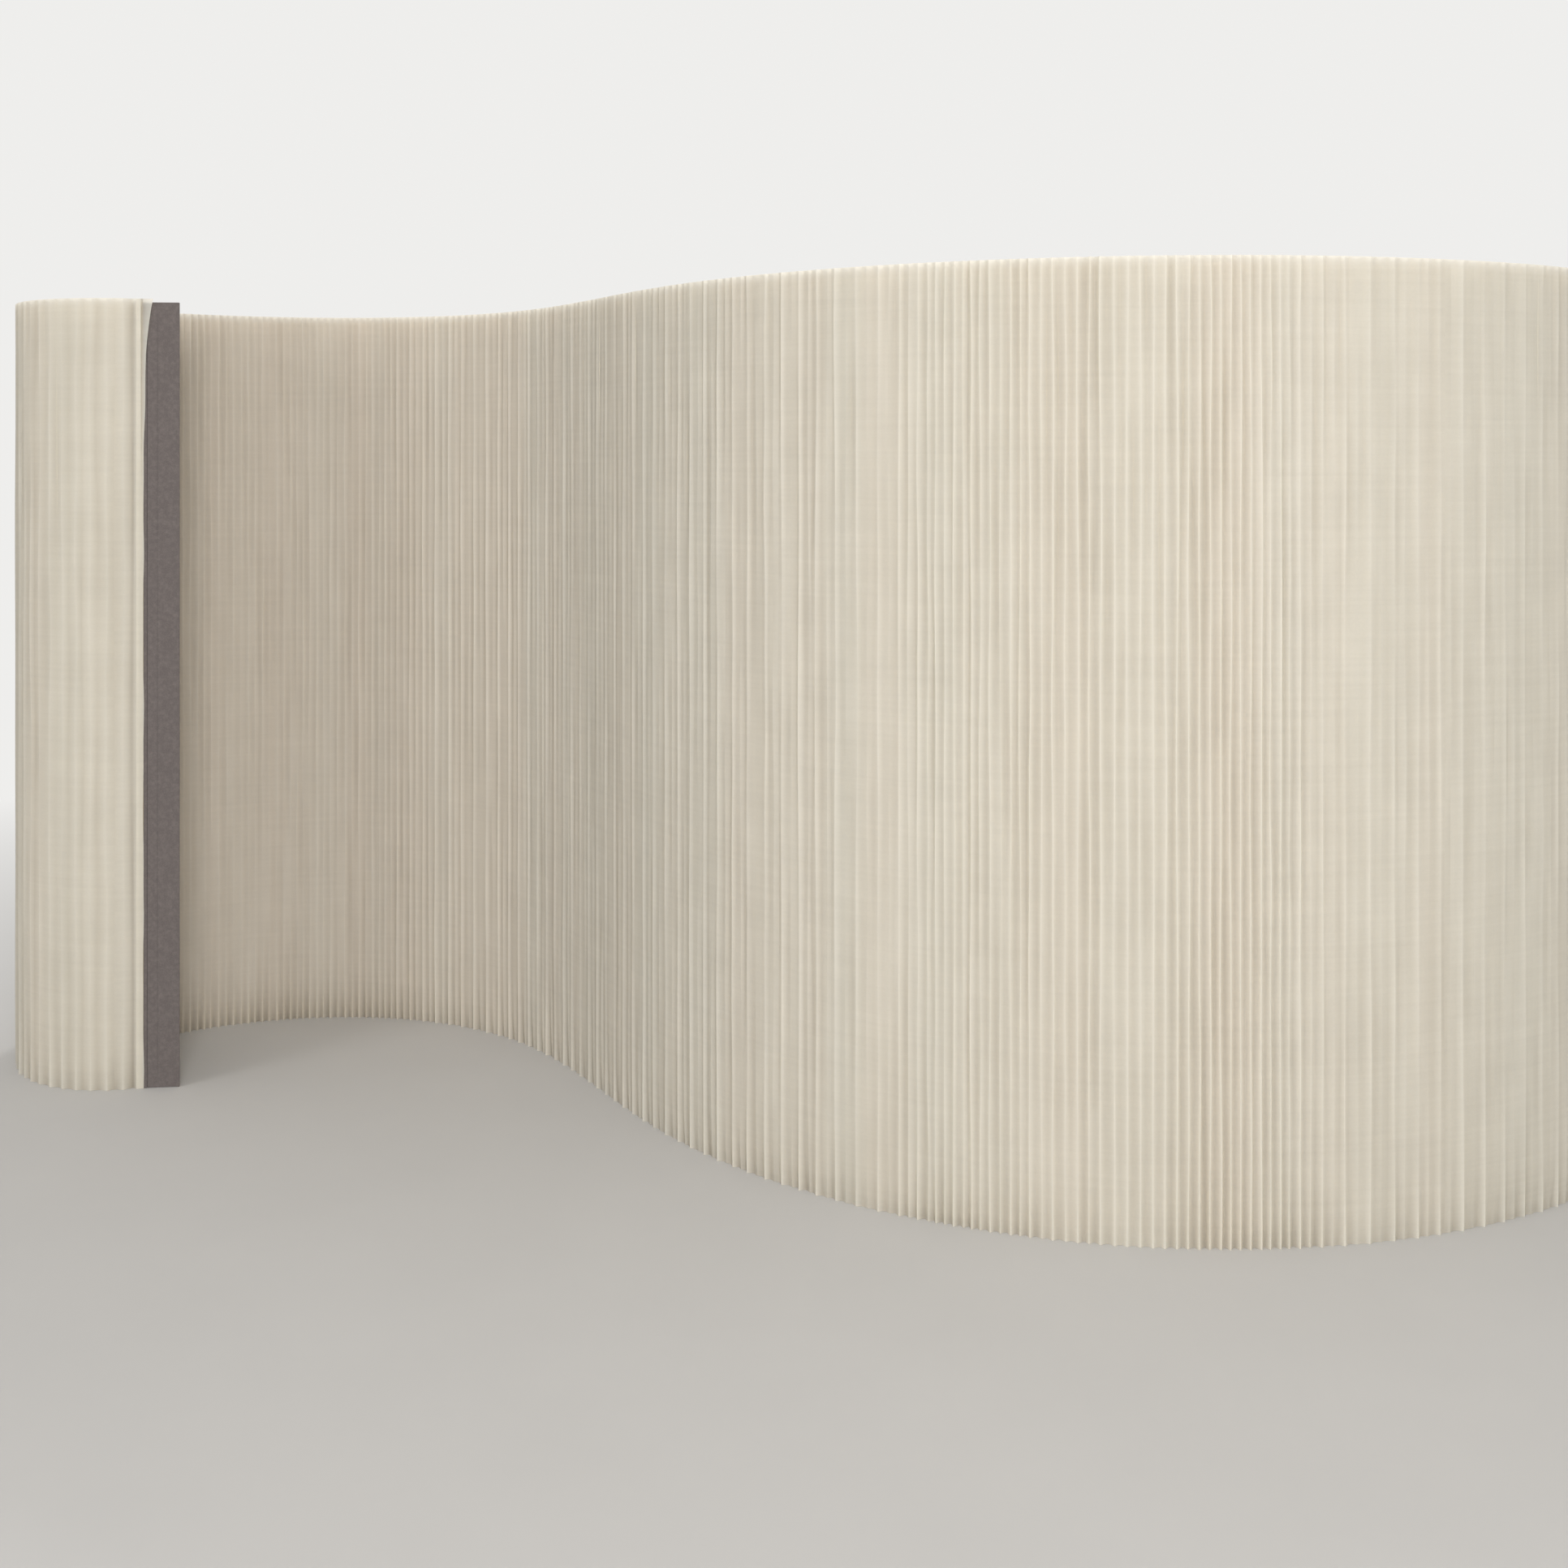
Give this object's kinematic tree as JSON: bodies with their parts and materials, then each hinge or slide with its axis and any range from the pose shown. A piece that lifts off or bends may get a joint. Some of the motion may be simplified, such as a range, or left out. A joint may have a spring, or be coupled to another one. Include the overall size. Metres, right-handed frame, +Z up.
{
  "type": "pleated paper screen",
  "caption": "Free-standing accordion screen of translucent paper pleats bonded in a honeycomb, standing in an S curve, with a wool felt cover and folding flap on its ends.",
  "frame": {"origin": "on the floor under the middle of the whole screen as it stands", "axes": "+Z up; +X along the screen from the felt end inside the curl to the far end of the bulge; the hollow of the curl and the face of the bulge look towards -Y"},
  "size_m": [3.902, 1.5618, 1.83],
  "materials": {
    "paper": "matte translucent ivory paper, faintly ribbed",
    "felt": "thick grey-mauve wool felt, fuzzy and mottled",
    "board": "plain grey-brown board",
    "fastening_tape": "dark woven hook-and-loop tape"
  },
  "bodies": {
    "pack_01": {"sheet_pack_01": "paper", "end_board_left": "board", "felt_panel_left": "felt", "loop_strip_left": "fastening_tape"},
    "pack_02": {"sheet_pack_02": "paper", "bend_pleats_01": "paper"},
    "pack_03": {"sheet_pack_03": "paper", "bend_pleats_02": "paper"},
    "pack_04": {"sheet_pack_04": "paper", "bend_pleats_03": "paper"},
    "pack_05": {"sheet_pack_05": "paper", "stretch_pleats_01": "paper"},
    "pack_06": {"sheet_pack_06": "paper", "bend_pleats_04": "paper"},
    "pack_07": {"sheet_pack_07": "paper", "stretch_pleats_02": "paper", "bend_pleats_05": "paper"},
    "pack_08": {"sheet_pack_08": "paper", "stretch_pleats_03": "paper"},
    "pack_09": {"sheet_pack_09": "paper", "bend_pleats_06": "paper"},
    "pack_10": {"sheet_pack_10": "paper", "stretch_pleats_04": "paper"},
    "pack_11": {"sheet_pack_11": "paper", "bend_pleats_07": "paper"},
    "pack_12": {"sheet_pack_12": "paper", "stretch_pleats_05": "paper"},
    "pack_13": {"sheet_pack_13": "paper", "bend_pleats_08": "paper"},
    "pack_14": {"sheet_pack_14": "paper", "end_board_right": "board", "felt_panel_right": "felt", "loop_strip_right": "fastening_tape"},
    "flap_left": {"felt_flap_left": "felt", "hook_strip_left": "fastening_tape"},
    "flap_right": {"felt_flap_right": "felt", "hook_strip_right": "fastening_tape"}
  },
  "joints": [
    {"name": "bend_01", "type": "hinge", "parent": "pack_02", "child": "pack_01", "pos_m": [-1.72888, 0.15259, 0], "axis": [0, 0, -1], "range_deg": [-6, 35], "deforming": ["bend_pleats_01"]},
    {"name": "bend_02", "type": "hinge", "parent": "pack_03", "child": "pack_02", "pos_m": [-1.82886, 0.27855, 0], "axis": [0, 0, -1], "range_deg": [-6, 35], "deforming": ["bend_pleats_02"]},
    {"name": "bend_03", "type": "hinge", "parent": "pack_04", "child": "pack_03", "pos_m": [-1.76971, 0.43822, 0], "axis": [0, 0, -1], "range_deg": [-6, 35], "deforming": ["bend_pleats_03"]},
    {"name": "stretch_01", "type": "slide", "parent": "pack_05", "child": "pack_04", "axis": [-0.9645, -0.264, 0], "range_m": [-0.12, 0.06], "deforming": ["stretch_pleats_01"]},
    {"name": "bend_04", "type": "hinge", "parent": "pack_06", "child": "pack_05", "pos_m": [-1.03259, 0.63994, 0], "axis": [0, 0, -1], "range_deg": [-20, 34], "deforming": ["bend_pleats_04"]},
    {"name": "stretch_02", "type": "slide", "parent": "pack_07", "child": "pack_06", "axis": [-0.7326, 0.6806, 0], "range_m": [-0.12, 0.06], "deforming": ["stretch_pleats_02"]},
    {"name": "bend_05", "type": "hinge", "parent": "pack_07", "child": "pack_08", "pos_m": [-0.41514, 0.11113, 0], "axis": [0, 0, 1], "range_deg": [-25, 25], "deforming": ["bend_pleats_05"]},
    {"name": "stretch_03", "type": "slide", "parent": "pack_08", "child": "pack_09", "axis": [0.6543, -0.7562, 0], "range_m": [-0.12, 0.06], "deforming": ["stretch_pleats_03"]},
    {"name": "bend_06", "type": "hinge", "parent": "pack_09", "child": "pack_10", "pos_m": [0.14202, -0.50031, 0], "axis": [0, 0, 1], "range_deg": [-34, 26], "deforming": ["bend_pleats_06"]},
    {"name": "stretch_04", "type": "slide", "parent": "pack_10", "child": "pack_11", "axis": [0.9846, -0.175, 0], "range_m": [-0.12, 0.06], "deforming": ["stretch_pleats_04"]},
    {"name": "bend_07", "type": "hinge", "parent": "pack_11", "child": "pack_12", "pos_m": [0.95167, -0.64426, 0], "axis": [0, 0, 1], "range_deg": [-34, 26], "deforming": ["bend_pleats_07"]},
    {"name": "stretch_05", "type": "slide", "parent": "pack_12", "child": "pack_13", "axis": [0.8748, 0.4845, 0], "range_m": [-0.12, 0.06], "deforming": ["stretch_pleats_05"]},
    {"name": "bend_08", "type": "hinge", "parent": "pack_13", "child": "pack_14", "pos_m": [1.67107, -0.24587, 0], "axis": [0, 0, 1], "range_deg": [-34, 26], "deforming": ["bend_pleats_08"]},
    {"name": "flap_left_fold", "type": "hinge", "parent": "pack_01", "child": "flap_left", "pos_m": [-1.54964, 0.04286, 0], "axis": [0, 0, -1], "range_deg": [-99, 84]},
    {"name": "flap_right_fold", "type": "hinge", "parent": "pack_14", "child": "flap_right", "pos_m": [1.90344, -0.12736, 0], "axis": [0, 0, -1], "range_deg": [-99, 84]}
  ],
  "couplings": [
    {"joint": "stretch_01", "follows": "stretch_03", "ratio": 1},
    {"joint": "stretch_02", "follows": "stretch_03", "ratio": 1},
    {"joint": "stretch_04", "follows": "stretch_03", "ratio": 1},
    {"joint": "stretch_05", "follows": "stretch_03", "ratio": 1}
  ]
}
